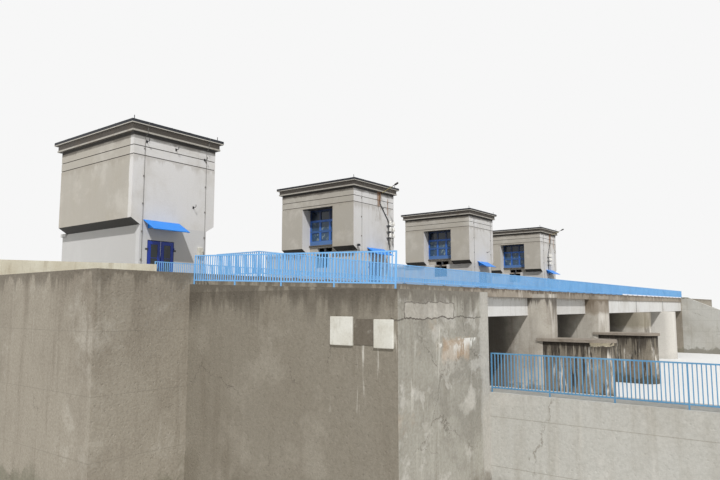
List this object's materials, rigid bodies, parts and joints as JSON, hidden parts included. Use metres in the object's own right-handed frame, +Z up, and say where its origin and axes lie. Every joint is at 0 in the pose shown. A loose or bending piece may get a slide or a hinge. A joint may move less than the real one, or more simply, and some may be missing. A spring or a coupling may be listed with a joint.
{
  "type": "sluice gate weir, 1:10 scale model",
  "caption": "Weir with rendered concrete hoist towers over steel sluice gates, and a road bridge on piers with blue railings, as a 1:10 scale model.",
  "frame": {"origin": "middle of the plan's bounding box, at the level of the basin floor on which the piers stand", "axes": "+X along the row of towers towards the right bank, +Y upstream, +Z up"},
  "size_m": [11.23, 5.6698, 2.06],
  "materials": {
    "render": "rough rendered concrete, stained by rain",
    "roof": "dark sheet flashing over weathered concrete cornice",
    "door_paint": "dark blue gloss paint, worn",
    "canopy_paint": "bright blue paint",
    "railing_paint": "light blue paint",
    "fittings": "dark grey weathered steel",
    "gate_steel": "dark bitumen paint with rust",
    "glass": "dark, dusty",
    "old_concrete": "old stained concrete",
    "deck_concrete": "worn concrete",
    "pale_concrete": "pale painted concrete",
    "cream_render": "cream rendered wall"
  },
  "bodies": {
    "weir": {"tower_1_front": "render", "tower_1_sides": "render", "tower_1_rear": "render", "tower_1_roof": "roof", "tower_2_front": "render", "tower_2_sides": "render", "tower_2_rear": "render", "tower_2_roof": "roof", "tower_3_front": "render", "tower_3_sides": "render", "tower_3_rear": "render", "tower_3_roof": "roof", "tower_4_front": "render", "tower_4_sides": "render", "tower_4_rear": "render", "tower_4_roof": "roof", "door_hinges": "fittings", "ground_floors": "deck_concrete", "hoist_floors": "deck_concrete", "window_frames": "door_paint", "window_glass": "glass", "canopies": "canopy_paint", "gate_shafts": "render", "roof_fittings": "fittings", "lamp_arms": "fittings", "gate_piers": "old_concrete", "gate_leaves": "gate_steel", "service_deck": "deck_concrete", "road_deck": "deck_concrete", "road_girders": "pale_concrete", "bridge_piers": "old_concrete", "divider_walls": "old_concrete", "left_abutment": "old_concrete", "left_approach": "old_concrete", "wing_block": "old_concrete", "left_training_wall": "pale_concrete", "right_abutment": "old_concrete", "right_wing_wall": "pale_concrete", "bank_parapet": "cream_render", "downstream_railing_1": "railing_paint", "downstream_railing_2": "railing_paint", "downstream_railing_3": "railing_paint", "downstream_railing_4": "railing_paint", "upstream_railing_1": "railing_paint", "upstream_railing_2": "railing_paint", "upstream_railing_3": "railing_paint", "upstream_railing_4": "railing_paint", "wing_railing": "railing_paint", "low_railing": "railing_paint", "service_railing": "railing_paint"},
    "door_1_left": {"door_1_left": "door_paint"},
    "door_1_right": {"door_1_right": "door_paint"},
    "door_2_left": {"door_2_left": "door_paint"},
    "door_2_right": {"door_2_right": "door_paint"},
    "door_3_left": {"door_3_left": "door_paint"},
    "door_3_right": {"door_3_right": "door_paint"},
    "door_4_left": {"door_4_left": "door_paint"},
    "door_4_right": {"door_4_right": "door_paint"}
  },
  "joints": [
    {"name": "door_1_left_hinge", "type": "hinge", "parent": "weir", "child": "door_1_left", "pos_m": [-3.919, 1.113, 0.9515], "axis": [0, 0, -1], "range_deg": [0, 100]},
    {"name": "door_1_right_hinge", "type": "hinge", "parent": "weir", "child": "door_1_right", "pos_m": [-3.687, 1.113, 0.9515], "axis": [0, 0, 1], "range_deg": [0, 100]},
    {"name": "door_2_left_hinge", "type": "hinge", "parent": "weir", "child": "door_2_left", "pos_m": [-1.142, 1.113, 0.9515], "axis": [0, 0, -1], "range_deg": [0, 100]},
    {"name": "door_2_right_hinge", "type": "hinge", "parent": "weir", "child": "door_2_right", "pos_m": [-0.91, 1.113, 0.9515], "axis": [0, 0, 1], "range_deg": [0, 100]},
    {"name": "door_3_left_hinge", "type": "hinge", "parent": "weir", "child": "door_3_left", "pos_m": [1.498, 1.113, 0.9515], "axis": [0, 0, -1], "range_deg": [0, 100]},
    {"name": "door_3_right_hinge", "type": "hinge", "parent": "weir", "child": "door_3_right", "pos_m": [1.73, 1.113, 0.9515], "axis": [0, 0, 1], "range_deg": [0, 100]},
    {"name": "door_4_left_hinge", "type": "hinge", "parent": "weir", "child": "door_4_left", "pos_m": [4.138, 1.113, 0.9515], "axis": [0, 0, -1], "range_deg": [0, 100]},
    {"name": "door_4_right_hinge", "type": "hinge", "parent": "weir", "child": "door_4_right", "pos_m": [4.37, 1.113, 0.9515], "axis": [0, 0, 1], "range_deg": [0, 100]}
  ]
}
